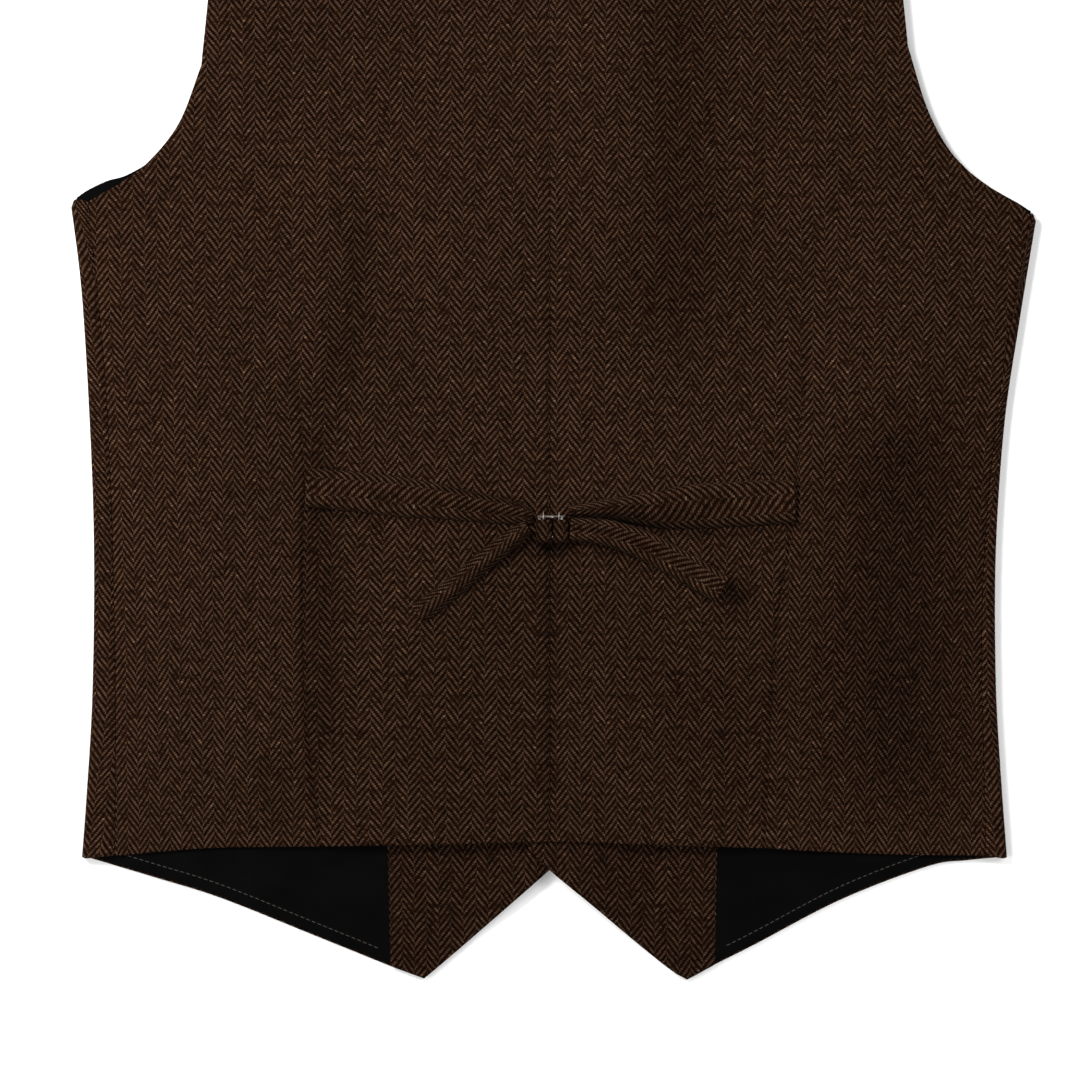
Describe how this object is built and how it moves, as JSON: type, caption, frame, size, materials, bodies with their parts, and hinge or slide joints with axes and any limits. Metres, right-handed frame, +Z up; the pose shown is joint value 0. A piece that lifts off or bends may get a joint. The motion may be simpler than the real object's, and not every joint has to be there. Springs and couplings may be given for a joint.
{
  "type": "suit waistcoat",
  "caption": "Suit waistcoat laid flat with its back up: herringbone cloth, pointed fronts buttoned underneath, black front lining and a buckled back belt.",
  "frame": {"origin": "on the surface that the waistcoat lies on, below the middle of its plan outline", "axes": "+Y from the hem to the shoulders, +X to the wearer's right across the back, +Z up out of the back"},
  "size_m": [0.522, 0.7032, 0.0149],
  "materials": {
    "herringbone": "dark brown wool-blend herringbone with light tan weft lines",
    "facing": "the same herringbone on the inside of the front edges",
    "lining": "black satin lining, slightly glossy",
    "steel": "plated steel wire",
    "button": "dark brown, polished"
  },
  "bodies": {
    "root": {"back_left": "herringbone", "front_left": "herringbone", "facing_left": "facing", "lining_left": "lining", "strap_left": "herringbone", "tail_left": "herringbone", "loop_left": "herringbone", "back_right": "herringbone", "front_right": "herringbone", "facing_right": "facing", "lining_right": "lining", "strap_right": "herringbone", "tail_right": "herringbone", "loop_right": "herringbone", "buckle": "steel", "button_1": "button", "button_2": "button", "button_3": "button", "button_4": "button", "button_5": "button"}
  },
  "joints": []
}
